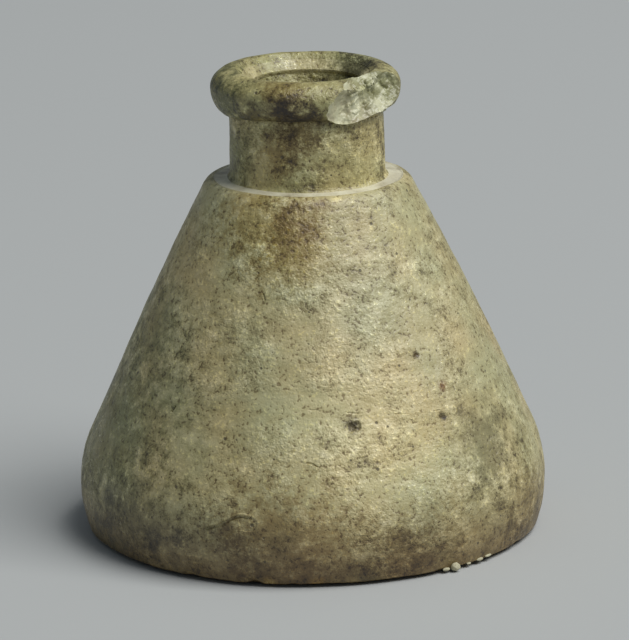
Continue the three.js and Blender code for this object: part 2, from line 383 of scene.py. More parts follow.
SOIL_AND_PAINTED_SHADE = "MULTIPLY"
BLEACH_AND_PAINTED_LIGHT = "DODGE"
UPPER_STAINS = (
    (on_body(-26, 60 * MM), 11 * MM, SOIL_AND_PAINTED_SHADE, "#eee2c4"),
    (on_body(-8, 56 * MM), 11 * MM, SOIL_AND_PAINTED_SHADE, "#d6cdac"),
    (on_body(-6, 61 * MM), 7 * MM, SOIL_AND_PAINTED_SHADE, "#e8dece"),
)
# Stains on the body, with painted shade on its left, painted sheen on its lit front right and
# painted glints at the foot
BODY_STAINS_AND_PAINTED_LIGHT = (
    (on_body(-44, 5.4 * MM), 2.6 * MM, SOIL_AND_PAINTED_SHADE, "#a09a8c"),
    (on_body(-35, 7.3 * MM), 2.6 * MM, SOIL_AND_PAINTED_SHADE, "#a09a8c"),
    (on_body(22, 5.4 * MM), 9 * MM, SOIL_AND_PAINTED_SHADE, "#d2c6b2"),
    # Painted shade, the next three: the body's shadowed left side and low left darkened
    (on_body(-70, 22 * MM), 26 * MM, SOIL_AND_PAINTED_SHADE, "#c9cec2"),
    (on_body(-70, 40 * MM), 12 * MM, SOIL_AND_PAINTED_SHADE, "#d8dacd"),
    (on_body(-50, 8 * MM), 15 * MM, SOIL_AND_PAINTED_SHADE, "#d2cfc2"),
    (on_body(66, 8 * MM), 12 * MM, SOIL_AND_PAINTED_SHADE, "#dcd6c6"),
    (on_body(52, 20 * MM), 10 * MM, SOIL_AND_PAINTED_SHADE, "#cacac6"),
    (on_body(-8, 8 * MM), 16 * MM, SOIL_AND_PAINTED_SHADE, "#dccfbe"),
) + UPPER_STAINS + (
    # Painted sheen, the next four: the lit front right of the body made paler and bluer where the
    # lamp's broad reflection falls
    (on_body(12, 26 * MM), 22 * MM, BLEACH_AND_PAINTED_LIGHT, "#8e8e96"),
    (on_body(34, 44 * MM), 30 * MM, BLEACH_AND_PAINTED_LIGHT, "#6a6a80"),
    (on_body(30, 22 * MM), 12 * MM, BLEACH_AND_PAINTED_LIGHT, "#504c46"),
    (on_body(36, 8 * MM), 7 * MM, BLEACH_AND_PAINTED_LIGHT, "#645a50"),
    (on_body(11.1, 27.4 * MM), 1.9 * MM, SOIL_AND_PAINTED_SHADE, "#6f6556"),
    (on_body(39.1, 27.0 * MM), 1.0 * MM, SOIL_AND_PAINTED_SHADE, "#6f634c"),
    (on_body(36.1, 37.5 * MM), 0.9 * MM, SOIL_AND_PAINTED_SHADE, "#84745a"),
    (on_body(42.6, 31.7 * MM), 1.6 * MM, SOIL_AND_PAINTED_SHADE, "#b08c68"),
    (on_body(-22, 9.6 * MM), 4.2 * MM, SOIL_AND_PAINTED_SHADE, "#c8bfae"),
    # Painted glints, the last two: pale spots on the broken edges of two nicks in the foot
    (on_body(-11.7, 0.8 * MM), 2.0 * MM, BLEACH_AND_PAINTED_LIGHT, "#c8cac4"),
    (on_body(0.3, 0.8 * MM), 1.8 * MM, BLEACH_AND_PAINTED_LIGHT, "#c8cac4"),
)
BASE_LIFT = 0.6 * MM
STANDING_RADIUS = 34.5 * MM
KICK_STEPS = 40
RING_STEPS = 20
LIFT_STEPS = 12

flat = [(r * MM, KICK_DEPTH) for r in (0, 3, 6)]
kick = [(KICK_FLAT + (KICK_RADIUS - KICK_FLAT) * i / KICK_STEPS,
         KICK_DEPTH * (1 + math.cos(math.pi * i / KICK_STEPS)) / 2) for i in range(KICK_STEPS + 1)]
ring = [(KICK_RADIUS + (STANDING_RADIUS - KICK_RADIUS) * i / RING_STEPS, 0)
        for i in range(1, RING_STEPS + 1)]
lift = [(STANDING_RADIUS + (BASE_EDGE - BASE_EDGE_ROUND - STANDING_RADIUS) * i / LIFT_STEPS,
         BASE_LIFT * (i / LIFT_STEPS) ** 1.5) for i in range(1, LIFT_STEPS + 1)]
corner = arc((BASE_EDGE - BASE_EDGE_ROUND, BASE_LIFT + BASE_EDGE_ROUND), BASE_EDGE_ROUND,
             BASE_EDGE_ROUND, -70, -15, 4)
edge = outside_between(BASE_LIFT + BASE_EDGE_ROUND, BASE_TOP)
base = spun_shell("base", flat + kick + ring + lift + corner + edge, BODY_SIDES)
hand_made(base)

# Nicks in the foot's edge: an angle from the front, a rise and a reach in millimetres
for degrees, rise, reach in ((-15.5, 0.6, 1.8), (-6.0, 0.2, 1.2), (-33.0, 0.25, 2.0),
                             (33.0, 0.2, 1.5), (62.0, 0.25, 2.2)):
    swell(base, "nick", on_body(degrees, BASE_LIFT), reach * MM, (0, 0, rise * MM))

# The ring it stands on is worn flat, and nothing reaches below it
bpy.ops.object.mode_set(mode="EDIT")
choose(base, lambda place: place.xy.length > KICK_RADIUS - 0.5 * MM
       and place.xy.length < STANDING_RADIUS + 0.3 * MM and place.z < MM)
bpy.ops.transform.resize(value=(1, 1, 0), center_override=(0, 0, 0))
choose(base, lambda place: place.z < 0)
bpy.ops.transform.resize(value=(1, 1, 0), center_override=(0, 0, 0))

# The floor inside, as wide as the wall's rounded corner leaves it
choose_open_edge(base, BASE_TOP)
floor_radius = outer_radius(BASE_TOP) - WALL - COVE
draw_loop(base, outer_radius(BASE_TOP), floor_radius, 0)
draw_loop(base, floor_radius, floor_radius / 2, 0)
bpy.ops.mesh.merge(type="CENTER")
base.data.materials.append(weathered_crust("crust_of_the_bottom", BODY_STAINS_AND_PAINTED_LIGHT))
finish_piece(base, "base_disc")


# The scar of the iron rod that held the bottle by its bottom while the rim was worked: a ring
# of glass torn off when the rod was knocked away, rough under its crust.
SCAR_MIDDLE = 6.25 * MM
SCAR_HALF_WIDTH = 1.75 * MM
SCAR_HEIGHT = 1.2 * MM
SCAR_ROOT = 0.45 * MM
SCAR_SIDES = 160

scar_arc = arc((SCAR_MIDDLE, KICK_DEPTH), SCAR_HALF_WIDTH, SCAR_HEIGHT, -180, 0, 20)
scar_root = [(SCAR_MIDDLE + SCAR_HALF_WIDTH, KICK_DEPTH + SCAR_ROOT),
             (SCAR_MIDDLE - SCAR_HALF_WIDTH, KICK_DEPTH + SCAR_ROOT)]
scar = spun_shell("scar_of_the_rod", scar_arc + scar_root + scar_arc[:1], SCAR_SIDES)
roughen(scar, "torn_glass", 1.8 * MM, 0.7 * MM)
roughen(scar, "torn_edges", 0.6 * MM, 0.25 * MM)
scar.data.materials.append(weathered_crust("crust_of_the_scar"))
finish_piece(scar, "pontil_scar")


# The wall: one blown bubble, shaped to a cone with a bulging heel while it turned. It is about
# 4 mm thick, with small pits where the crust has fallen out and scratches that run round it.
BODY_LOW, BODY_HIGH = (corner[2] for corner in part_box("body_wall"))
INSIDE_STEPS = 10


def even(place):
    """The place on the even wall that lies under a point of the uneven one."""
    outward = Vector((place.x, place.y, 0)).normalized()
    return outward * outer_radius(place.z) + Vector((0, 0, place.z))


def press(shell, where, depth, reach):
    """In edit mode, presses a small pit into the wall at a place, after cutting its faces finer."""
    choose(shell, lambda place: (even(place) - where).length < reach * 1.6)
    bpy.ops.mesh.subdivide(number_cuts=2)
    choose(shell, lambda place: (even(place) - where).length < reach * 0.6)
    bpy.ops.transform.shrink_fatten(value=-depth, use_proportional_edit=True,
                                    proportional_edit_falloff="ROOT", proportional_size=reach * 0.6)


def near_line(path, width, on_wall=True):
    """A test for a point: does it lie within a width of a line of places? On the wall the place
    under it on the even wall counts."""
    def on_line(place):
        flat = even(place) if on_wall else place
        for a, b in zip(path, path[1:]):
            along = b - a
            t = max(0, min(1, (flat - a).dot(along) / along.length_squared))
            if (flat - a - along * t).length < width:
                return True
        return False

    return on_line


def groove(shell, path, depth, width):
    """In edit mode, presses a line into the wall; a depth below 0 raises it."""
    choose(shell, near_line(path, width))
    bpy.ops.transform.shrink_fatten(value=-depth)


def marks(*ends):
    """Places on the wall from pairs of an angle and a height in millimetres."""
    return [on_body(degrees, height * MM) for degrees, height in ends]


def line_inside(shell, outline):
    """Draws the selected loop along an outline of (radius, height) down the inside."""
    for (r0, z0), (r1, z1) in zip(outline, outline[1:]):
        draw_loop(shell, r0, r1, z1 - z0)


wall = spun_shell("wall", outside_between(BODY_LOW, BODY_HIGH), BODY_SIDES)
hand_made(wall)

# Pits where the crust has fallen out: an angle, a height, a depth and a reach in millimetres
bpy.ops.object.mode_set(mode="EDIT")
for degrees, height, depth, reach in ((10.4, 27.3, 0.35, 0.8), (12.0, 27.5, 0.4, 0.9),
                                      (39.1, 27.0, 0.35, 0.6), (36.1, 37.5, 0.3, 0.5)):
    press(wall, on_body(degrees, height * MM), depth * MM, reach * MM)

# Scratches and turning lines with their depths in millimetres
SCRATCH_WIDTH = 0.14 * MM
FINER_BESIDE = 0.6 * MM
for mark, depth in ((marks((-47.6, 59.0), (-46.0, 58.2)), 0.2),
                    (marks((-44.6, 28.2), (-43.6, 29.2)), 0.3),
                    (marks((-18.6, 48.9), (-17.8, 48.0)), 0.25),
                    (marks((-2.0, 22.0), (-0.4, 21.8), (0.6, 21.4)), 0.2),
                    (marks((17, 59.2), (32, 59.0), (47, 59.1)), 0.1),
                    (marks((-1, 30.5), (12, 29.6), (26, 28.6), (39, 28.0)), 0.1)):
    choose(wall, near_line(mark, FINER_BESIDE))
    bpy.ops.mesh.subdivide(number_cuts=2)
    groove(wall, mark, depth * MM, SCRATCH_WIDTH)

# The raised edge of a flake of crust low on the front, with the hollow that it left under it
lip = marks((-27.2, 10.6), (-23.6, 11.5), (-21.0, 12.6), (-18.8, 13.3), (-16.0, 13.1))
choose(wall, near_line([place + Vector((0, 0, -MM)) for place in lip], 2.2 * MM))
bpy.ops.mesh.subdivide(number_cuts=2)
groove(wall, [place + Vector((0, 0, -1.5 * MM)) for place in lip], 0.12 * MM, 1.3 * MM)
groove(wall, [place + Vector((0, 0, -0.35 * MM)) for place in lip], 0.2 * MM, 0.3 * MM)
groove(wall, lip, -0.12 * MM, 0.2 * MM)

# The inside runs parallel to the outside and ends in the rounded corner of the floor
choose_open_edge(wall, BODY_HIGH)
levels = [BODY_HIGH + (BODY_LOW + COVE - BODY_HIGH) * i / INSIDE_STEPS
          for i in range(INSIDE_STEPS + 1)]
inside = [(outer_radius(z) - WALL, z) for z in levels]
cove_middle = (inside[-1][0] - COVE, inside[-1][1])
inside += arc(cove_middle, COVE, COVE, 0, -90, 6)[1:]
draw_loop(wall, outer_radius(BODY_HIGH), inside[0][0], 0)
line_inside(wall, inside)
choose_open_edge(wall, BODY_LOW)
bpy.ops.mesh.bridge_edge_loops()
wall.data.materials.append(weathered_crust("crust_of_the_wall", BODY_STAINS_AND_PAINTED_LIGHT))
finish_piece(wall, "body_wall")


# The shoulder: the cone was pressed down round the neck while hot, which left a narrow ledge,
# worn smooth. Its outer edge is rounded over and catches the light.
SHOULDER_LOW, SHOULDER_HIGH = (corner[2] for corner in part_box("shoulder_ledge"))
LEDGE_EDGE = (16.6 * MM, SHOULDER_HIGH - 0.3 * MM)
LEDGE_LIP = 17.0 * MM
LEDGE_INNER = 13.2 * MM
BORE = 9.7 * MM
INNER_SHOULDER_DROP = 2.6 * MM

# Four places draw the curve from the cone over the edge, and two more turn down its low lip
TURN_STEPS = 16
LEDGE_STEPS = 12
rise = outside_between(SHOULDER_LOW, CONE_TOP)
over_edge = []
turn_points = ((CONE_TOP_RADIUS, CONE_TOP), (18.4 * MM, 63.7 * MM), (17.8 * MM, 64.05 * MM),
               (LEDGE_LIP, SHOULDER_HIGH - 0.16 * MM))
for i in range(1, TURN_STEPS + 1):
    t = i / TURN_STEPS
    weights = ((1 - t) ** 3, 3 * t * (1 - t) ** 2, 3 * t * t * (1 - t), t ** 3)
    over_edge.append(tuple(sum(w * p[k] for w, p in zip(weights, turn_points)) for k in (0, 1)))
over_edge += [(16.85 * MM, SHOULDER_HIGH - 0.17 * MM), (16.72 * MM, SHOULDER_HIGH - 0.25 * MM)]
ledge = [(LEDGE_EDGE[0] + (LEDGE_INNER - LEDGE_EDGE[0]) * i / LEDGE_STEPS,
          LEDGE_EDGE[1] + (SHOULDER_HIGH - LEDGE_EDGE[1]) * i / LEDGE_STEPS)
         for i in range(LEDGE_STEPS + 1)]
shoulder = spun_shell("shoulder", rise + over_edge + ledge, BODY_SIDES)
hand_made(shoulder)

# Under it the bore widens in a quarter of an ellipse to the inside of the wall
bpy.ops.object.mode_set(mode="EDIT")
choose_open_edge(shoulder, SHOULDER_HIGH)
inner_foot = outer_radius(SHOULDER_LOW) - WALL
hollow = arc((BORE, SHOULDER_LOW), inner_foot - BORE, SHOULDER_HIGH - INNER_SHOULDER_DROP
             - SHOULDER_LOW, 90, 0, 8)
draw_loop(shoulder, LEDGE_INNER, BORE, 0)
line_inside(shoulder, [(BORE, SHOULDER_HIGH)] + hollow)
choose_open_edge(shoulder, SHOULDER_LOW)
bpy.ops.mesh.bridge_edge_loops()


def worn_crust(name):
    """Crust rubbed smooth by fingers and cloths: a thin greyish film with a soft gloss, clouded
    from 5 mm down to a tenth of a millimetre."""
    material = bpy.data.materials.new(name)
    material.use_nodes = True
    tree = material.node_tree
    shader = tree.nodes["Principled BSDF"]
    place = add_node(tree, "TexCoord").outputs["Object"]
    film = add_node(tree, "TexNoise", {"Vector": place, "Scale": 1 / (5 * MM), "Detail": 6.0,
                                       "Roughness": 0.7})
    colour = add_node(tree, "ValToRGB", {"Fac": film.outputs["Fac"]})
    stops = colour.color_ramp.elements
    stops[0].position = 0.34
    stops[0].color = linear("#a0967a")
    stops[1].position = 0.6
    stops[1].color = linear("#e0dbc0")
    stops.new(0.45).color = linear("#cac3a8")
    tree.links.new(colour.outputs[0], shader.inputs["Base Color"])
    shader.inputs["Roughness"].default_value = 0.42
    shader.inputs["Specular IOR Level"].default_value = 0.8
    bump = add_node(tree, "Bump", {"Strength": 0.4, "Distance": 0.3 * MM,
                                   "Height": film.outputs["Fac"]})
    tree.links.new(bump.outputs["Normal"], shader.inputs["Normal"])
    return material


SHOULDER_STAINS_AND_PAINTED_LIGHT = UPPER_STAINS + (
    # Painted sheen on the lit front right of the shoulder, and a painted glint on the ledge's edge
    (on_body(34, 56 * MM), 20 * MM, BLEACH_AND_PAINTED_LIGHT, "#6a6a80"),
    (on_body(15.7, 64.3 * MM), 1.5 * MM, BLEACH_AND_PAINTED_LIGHT, "#a8a8a4"),
)
shoulder.data.materials.append(weathered_crust("crust_of_the_shoulder", SHOULDER_STAINS_AND_PAINTED_LIGHT))
shoulder.data.materials.append(worn_crust("worn_ledge"))
choose(shoulder, lambda place: LEDGE_INNER - MM < place.xy.length < LEDGE_LIP
       and place.z > SHOULDER_HIGH - 0.8 * MM)
shoulder.active_material_index = 1
bpy.ops.object.material_slot_assign()
finish_piece(shoulder, "shoulder_ledge")


# The neck: the top of the bubble, drawn out to a short thick tube with nearly straight sides
# that run into the ledge in a small hollow curve.
NECK_LOW, NECK_HIGH = (corner[2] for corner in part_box("neck_tube"))
NECK_FOOT = 13.9 * MM
NECK_TOP = 13.7 * MM
FOOT_CURVE = 0.8 * MM
THROAT = 9.0 * MM
NECK_SIDES = 384
FINE_STEP = 0.28 * MM
BORE_STEPS = 4

foot = arc((NECK_FOOT + FOOT_CURVE, NECK_LOW + FOOT_CURVE), FOOT_CURVE, FOOT_CURVE + 0.2 * MM,
           -90, -180, 8)


def at(degrees, radius, height):
    """A place at an angle from the front towards +X, a radius and a height."""
    angle = math.radians(degrees)
    return Vector((radius * math.sin(angle), -radius * math.cos(angle), height))


def uneven_roll(shell):
    """The neck's top and the roll's underside both stand lower on the left and higher in front."""
    for name, degrees, reach, rise in (("low_left", -92, 11, -0.55), ("high_front", -2, 14, 0.75)):
        swell(shell, name, at(degrees, 14 * MM, NECK_HIGH), reach * MM, (0, 0, rise * MM))


count = round((NECK_HIGH - foot[-1][1]) / FINE_STEP)
sides = [(NECK_FOOT + (NECK_TOP - NECK_FOOT) * i / count,
          foot[-1][1] + (NECK_HIGH - foot[-1][1]) * i / count) for i in range(1, count + 1)]
neck = spun_shell("neck", foot + sides, NECK_SIDES)
hand_made(neck)
uneven_roll(neck)
bpy.ops.object.mode_set(mode="EDIT")
choose_open_edge(neck, NECK_HIGH)
draw_loop(neck, NECK_TOP, THROAT, 0)
for i in range(BORE_STEPS):
    draw_loop(neck, THROAT + (BORE - THROAT) * i / BORE_STEPS,
              THROAT + (BORE - THROAT) * (i + 1) / BORE_STEPS, (NECK_LOW - NECK_HIGH) / BORE_STEPS)
choose_open_edge(neck, NECK_LOW)
bpy.ops.mesh.bridge_edge_loops()

NECK_STAINS_AND_PAINTED_LIGHT = (
    (at(-22, 13.8 * MM, NECK_LOW + 7 * MM), 6 * MM, SOIL_AND_PAINTED_SHADE, "#d9caae"),
    # Soil and painted shadow: the neck's top at the front, under the roll, darkened
    (at(-4, 13.8 * MM, NECK_HIGH - 1 * MM), 7 * MM, SOIL_AND_PAINTED_SHADE, "#baab8c"),
    # Painted shade on the neck's shadowed left
    (at(-70, 13.8 * MM, NECK_LOW + 6 * MM), 9 * MM, SOIL_AND_PAINTED_SHADE, "#cfd3c2"),
    # Painted light, the last two: the lit right of the neck made paler
    (at(50, 13.8 * MM, NECK_LOW + 6 * MM), 9 * MM, BLEACH_AND_PAINTED_LIGHT, "#484846"),
    (at(62, 13.8 * MM, NECK_LOW + 5.5 * MM), 5 * MM, BLEACH_AND_PAINTED_LIGHT, "#707486"),
)
neck.data.materials.append(weathered_crust("crust_of_the_neck", NECK_STAINS_AND_PAINTED_LIGHT, "#f9faee", 1.6))
finish_piece(neck, "neck_tube")


# The rolled rim: the mouth's edge, folded out and rolled back on itself to a fat collar. A
# blow has knocked a chip off its front right side, down to clean glass full of bubbles.
RIM_LOW, RIM_HIGH = (corner[2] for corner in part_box("rim_roll"))
RIM_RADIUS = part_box("rim_roll")[1][1]
RIM_WIDEST = RIM_LOW + 4.4 * MM
RIM_CREST = 12.7 * MM
CREST_ROUND = 0.7 * MM
FOLD_OUTER = 11.35 * MM
MOUTH_EDGE = RIM_HIGH - 1.0 * MM
CREVICE = 0.45 * MM


def clean_glass(name, stains_and_painted_light):
    """Broken glass, grey-green and glossy. A blow leaves it with long hackle lines, edges crushed
    to a pale powder and open bubbles. A little soil has settled on it, and painted shade
    darkens its hollows."""
    material = bpy.data.materials.new(name)
    material.use_nodes = True
    tree = material.node_tree
    shader = tree.nodes["Principled BSDF"]
    place = add_node(tree, "TexCoord").outputs["Object"]
    cloud = add_node(tree, "TexNoise", {"Vector": place, "Scale": 1 / (3 * MM), "Detail": 3.0,
                                        "Roughness": 0.6})
    colour = add_node(tree, "ValToRGB", {"Fac": cloud.outputs["Fac"]})
    ramp = colour.color_ramp.elements
    ramp[0].position = 0.34
    ramp[0].color = linear("#a09a80")
    ramp[1].position = 0.62
    ramp[1].color = linear("#c8c6a6")
    ramp.new(0.48).color = linear("#b4b192")

    # Hackle lines 0.4 mm wide and some 2 mm long that climb to the right across the break
    turned = add_node(tree, "Mapping", {"Vector": place,
                                        "Rotation": (0, math.radians(24), math.radians(-40))})
    drawn = add_node(tree, "Mapping", {"Vector": turned.outputs[0], "Scale": (0.2, 1, 1)})
    hackle = add_node(tree, "TexNoise", {"Vector": drawn.outputs[0], "Scale": 1 / (0.8 * MM),
                                         "Detail": 2.0, "Roughness": 0.5})
    streak = add_node(tree, "MapRange", {"Value": hackle.outputs["Fac"], "From Min": 0.58,
                                         "From Max": 0.7, "To Max": 0.6})
    shade = add_node(tree, "Mix", {0: streak.outputs[0], 6: colour.outputs[0],
                                   7: linear("#dcdbb8")}, data_type="RGBA").outputs[2]

    # Edges crushed to a pale powder, and the hollows darker with soil and painted shade
    edges = add_node(tree, "NewGeometry").outputs["Pointiness"]
    crushed = add_node(tree, "MapRange", {"Value": edges, "From Min": 0.53, "From Max": 0.62,
                                          "To Max": 0.85})
    shade = add_node(tree, "Mix", {0: crushed.outputs[0], 6: shade, 7: linear("#efecc8")},
                     data_type="RGBA").outputs[2]
    hollow = add_node(tree, "MapRange", {"Value": edges, "From Min": 0.47, "From Max": 0.4,
                                         "To Max": 0.7})
    shade = add_node(tree, "Mix", {0: hollow.outputs[0], 6: shade, 7: linear("#6b6546")},
                     data_type="RGBA").outputs[2]
    shade = stain_and_paint_light(tree, shade, place, cloud.outputs["Fac"], stains_and_painted_light)
    tree.links.new(shade, shader.inputs["Base Color"])
    shader.inputs["Roughness"].default_value = 0.36
    relief = add_node(tree, "Math", {0: cloud.outputs["Fac"], 1: 1.2, 2: hackle.outputs["Fac"]},
                      operation="MULTIPLY_ADD")
    bump = add_node(tree, "Bump", {"Strength": 0.5, "Distance": 0.25 * MM,
                                   "Height": relief.outputs[0]})
    tree.links.new(bump.outputs["Normal"], shader.inputs["Normal"])
    return material


RIPPLES_DRAWN_OUT = 2.6
NEAR_RIM = 1.5 * MM


def break_off(piece, name, degrees, lean, where, half_sizes, ripples, material):
    """Scoops away what lies in a rippled egg-shaped bowl, as a blow breaks glass. The bowl has
    half its width across, outwards and up, stands at an angle from the front and leans. A guide
    draws the ripples out along the bowl."""
    bpy.ops.object.select_all(action="DESELECT")
    bpy.ops.mesh.primitive_ico_sphere_add(subdivisions=6, radius=1, location=where,
                                          rotation=(0, math.radians(lean), math.radians(degrees)),
                                          scale=half_sizes)
    cutter = bpy.context.object
    cutter.name = name
    bpy.ops.object.transform_apply(location=True, rotation=True, scale=True)
    bpy.ops.object.mode_set(mode="EDIT")
    choose(cutter, lambda place: place.xy.length < RIM_RADIUS + NEAR_RIM
           and RIM_LOW - NEAR_RIM < place.z < RIM_HIGH + NEAR_RIM)
    bpy.ops.mesh.subdivide(number_cuts=1)
    bpy.ops.object.mode_set(mode="OBJECT")
    bpy.ops.object.empty_add(rotation=(0, math.radians(lean), math.radians(degrees)),
                             scale=(RIPPLES_DRAWN_OUT, 1, 1))
    guide = bpy.context.object
    for i, (size, depth) in enumerate(ripples):
        texture = bpy.data.textures.new(f"{name}_{i}", type="CLOUDS")
        texture.noise_scale = size
        ripple = cutter.modifiers.new(f"{name}_{i}", "DISPLACE")
        ripple.texture = texture
        ripple.texture_coords = "OBJECT"
        ripple.texture_coords_object = guide
        ripple.strength = depth
        ripple.mid_level = 0.5
    bpy.ops.object.select_all(action="DESELECT")
    cutter.select_set(True)
    bpy.context.view_layer.objects.active = cutter
    bpy.ops.object.convert(target="MESH")
    bpy.data.objects.remove(guide)
    cutter.data.materials.append(material)
    bpy.ops.object.select_all(action="DESELECT")
    piece.select_set(True)
    bpy.context.view_layer.objects.active = piece
    cut = piece.modifiers.new(name, "BOOLEAN")
    cut.operation = "DIFFERENCE"
    cut.solver = "EXACT"
    cut.material_mode = "TRANSFER"
    cut.object = cutter
    bpy.ops.object.modifier_apply(modifier=name)
    bpy.data.objects.remove(cutter)


# The roll's section: from the crevice at the neck out, over the crest, down into the mouth to the
# seat of the folded edge, and down the bore
under = arc((NECK_TOP, RIM_WIDEST), RIM_RADIUS - NECK_TOP, RIM_WIDEST - RIM_LOW, -78, 0, 26)
over = arc((RIM_CREST, RIM_WIDEST), RIM_RADIUS - RIM_CREST, RIM_HIGH - RIM_WIDEST, 0, 90, 24)
root = [(NECK_TOP - CREVICE, RIM_LOW), (NECK_TOP - CREVICE, RIM_LOW + CREVICE)]
turn_in = arc((RIM_CREST, RIM_HIGH - CREST_ROUND), CREST_ROUND, CREST_ROUND, 90, 135, 5)
seat = [(FOLD_OUTER, MOUTH_EDGE), (FOLD_OUTER, RIM_HIGH - 3.3 * MM),
        (9.92 * MM, RIM_HIGH - 3.3 * MM), (9.72 * MM, RIM_HIGH - 4.0 * MM),
        (9.35 * MM, RIM_HIGH - 5.0 * MM), (9.1 * MM, RIM_HIGH - 6.2 * MM), (THROAT, RIM_LOW)]
rim_outline = root + under + over[1:] + turn_in[1:] + seat
rim = spun_shell("rolled_rim", rim_outline + rim_outline[:1], NECK_SIDES)
hand_made(rim)
uneven_roll(rim)
swell(rim, "fuller_roll", Vector((-14.5 * MM, 0, 83 * MM)), 9 * MM, (-0.1 * MM, 0, 0.15 * MM))
swell(rim, "low_lip", at(-4, 12.8 * MM, RIM_HIGH), 11 * MM, (0, -0.25 * MM, -0.3 * MM))
swell(rim, "torn_lip", at(29, 16.4 * MM, RIM_LOW), 5.5 * MM, (0.1 * MM, 0, -1.1 * MM))

MOUTH_PAINTED_LIGHT_AND_SHADE = (
    # Painted light on the far left inside of the mouth, which faces the lamp, and painted shade on
    # its right inside, which the rim shades
    (at(-165, 11.6 * MM, RIM_HIGH - 1.2 * MM), 11 * MM, BLEACH_AND_PAINTED_LIGHT, "#4e4e48"),
    (at(125, 10.6 * MM, RIM_HIGH - 2.4 * MM), 8 * MM, SOIL_AND_PAINTED_SHADE, "#969684"),
)
RIM_STAINS_AND_PAINTED_LIGHT = MOUTH_PAINTED_LIGHT_AND_SHADE + (
    # Soil and painted shade, the next four: darker under the front of the roll and in its crevice
    # at the neck
    (at(-14, 16.2 * MM, RIM_LOW + 1.8 * MM), 5.8 * MM, SOIL_AND_PAINTED_SHADE, "#8b7850"),
    (at(2, 15.3 * MM, RIM_LOW + 0.4 * MM), 4.5 * MM, SOIL_AND_PAINTED_SHADE, "#a39266"),
    (at(-6, 16.0 * MM, RIM_LOW + 1.5 * MM), 5.0 * MM, SOIL_AND_PAINTED_SHADE, "#806c3e"),
    (at(-38, 15.3 * MM, RIM_LOW + 0.8 * MM), 5.5 * MM, SOIL_AND_PAINTED_SHADE, "#ada076"),
    (at(-12, 14.8 * MM, RIM_HIGH - 0.4 * MM), 6 * MM, SOIL_AND_PAINTED_SHADE, "#e6dcc2"),
    (at(-13, 16.6 * MM, RIM_LOW + 5 * MM), 5 * MM, SOIL_AND_PAINTED_SHADE, "#ece4d8"),
    # Soil and painted shade, the next two: darker under the roll on its left
    (at(-62, 16.4 * MM, RIM_LOW + 2.4 * MM), 8 * MM, SOIL_AND_PAINTED_SHADE, "#a4af9b"),
    (at(-95, 16.6 * MM, RIM_LOW + 4 * MM), 9 * MM, SOIL_AND_PAINTED_SHADE, "#b0b8a0"),
    (at(6, 16.4 * MM, RIM_LOW + 4.6 * MM), 7 * MM, BLEACH_AND_PAINTED_LIGHT, "#4c4a44"),
)
rim.data.materials.append(weathered_crust("crust_of_the_rim", RIM_STAINS_AND_PAINTED_LIGHT, "#e5e7d6", 1.4))
GLASS_STAINS_AND_PAINTED_LIGHT = (
    (at(72, 15.0 * MM, RIM_LOW + 5.0 * MM), 6.0 * MM, SOIL_AND_PAINTED_SHADE, "#ccceb8"),
    (at(50, 14.2 * MM, RIM_HIGH - 0.8 * MM), 5.0 * MM, SOIL_AND_PAINTED_SHADE, "#d8dac6"),
    # Painted light on the left part of the break, which faces away from the lamp
    (at(31, 15.4 * MM, RIM_LOW + 4.4 * MM), 7.0 * MM, BLEACH_AND_PAINTED_LIGHT, "#6a665c"),
)
broken = clean_glass("clean_glass", GLASS_STAINS_AND_PAINTED_LIGHT)

# The chip's five bowls: an angle from the front, a lean, the middle's radius, its height on the
# roll and the half widths, in degrees and millimetres. The ripples are a size and a depth each
BREAK_RIPPLES = ((2.6 * MM, 1.5 * MM), (0.9 * MM, 0.4 * MM), (0.4 * MM, 0.1 * MM))
for name, degrees, lean, radius, height, half_sizes in (
        ("chip_left", 30, -30, 22.0, RIM_LOW + 3.0 * MM, (8.4, 8.4, 5.6)),
        ("chip_middle", 47, -30, 21.5, RIM_LOW + 4.0 * MM, (7.6, 8.0, 5.2)),
        ("chip_right", 63, -30, 21.4, RIM_LOW + 5.0 * MM, (7.6, 8.0, 5.0)),
        ("chip_top", 54, -16, 15.9, RIM_HIGH + 1.4 * MM, (9.2, 4.2, 3.2)),
        ("chip_notch", 71, 0, 16.7, RIM_LOW - 0.4 * MM, (5.0, 2.5, 2.0))):
    break_off(rim, name, degrees, lean, at(degrees, radius * MM, height),
              tuple(half * MM for half in half_sizes), BREAK_RIPPLES, broken)

# What hangs together with the back stays: loose slivers of the break go, and gaps are closed
SLIVER = 0.01 * MM
bpy.ops.object.mode_set(mode="EDIT")
bpy.ops.mesh.select_all(action="SELECT")
bpy.ops.mesh.remove_doubles(threshold=SLIVER)
choose(rim, lambda place: place.y > RIM_RADIUS - 2 * MM)
bpy.ops.mesh.select_linked()
bpy.ops.mesh.select_all(action="INVERT")
bpy.ops.mesh.delete(type="VERT")
bpy.ops.mesh.select_non_manifold()
bpy.ops.mesh.fill_holes(sides=0)
bpy.ops.object.mode_set(mode="OBJECT")

# Bubbles that the break has opened: an angle, a height and a size in millimetres
INSIDE_BREAK = 14.4 * MM
BUBBLES = ((42, 81.6, 0.35), (46, 81.8, 0.35), (49, 82.2, 0.45), (52, 81.4, 0.35), (54, 82.4, 0.4),
           (58, 82.1, 0.4), (62, 82.5, 0.35), (66, 82.2, 0.3), (47, 80.9, 0.3), (33, 79.4, 0.25),
           (60, 80.2, 0.25))
burst = [(rim.closest_point_on_mesh(at(degrees, INSIDE_BREAK, height * MM))[1], size * MM)
         for degrees, height, size in BUBBLES]
bpy.ops.object.mode_set(mode="EDIT")
for where, size in burst:
    choose(rim, lambda place: (place - where).length < size * 1.6)
    bpy.ops.mesh.subdivide(number_cuts=1)
    choose(rim, lambda place: (place - where).length < size * 0.7)
    bpy.ops.transform.shrink_fatten(value=-size * 0.75)

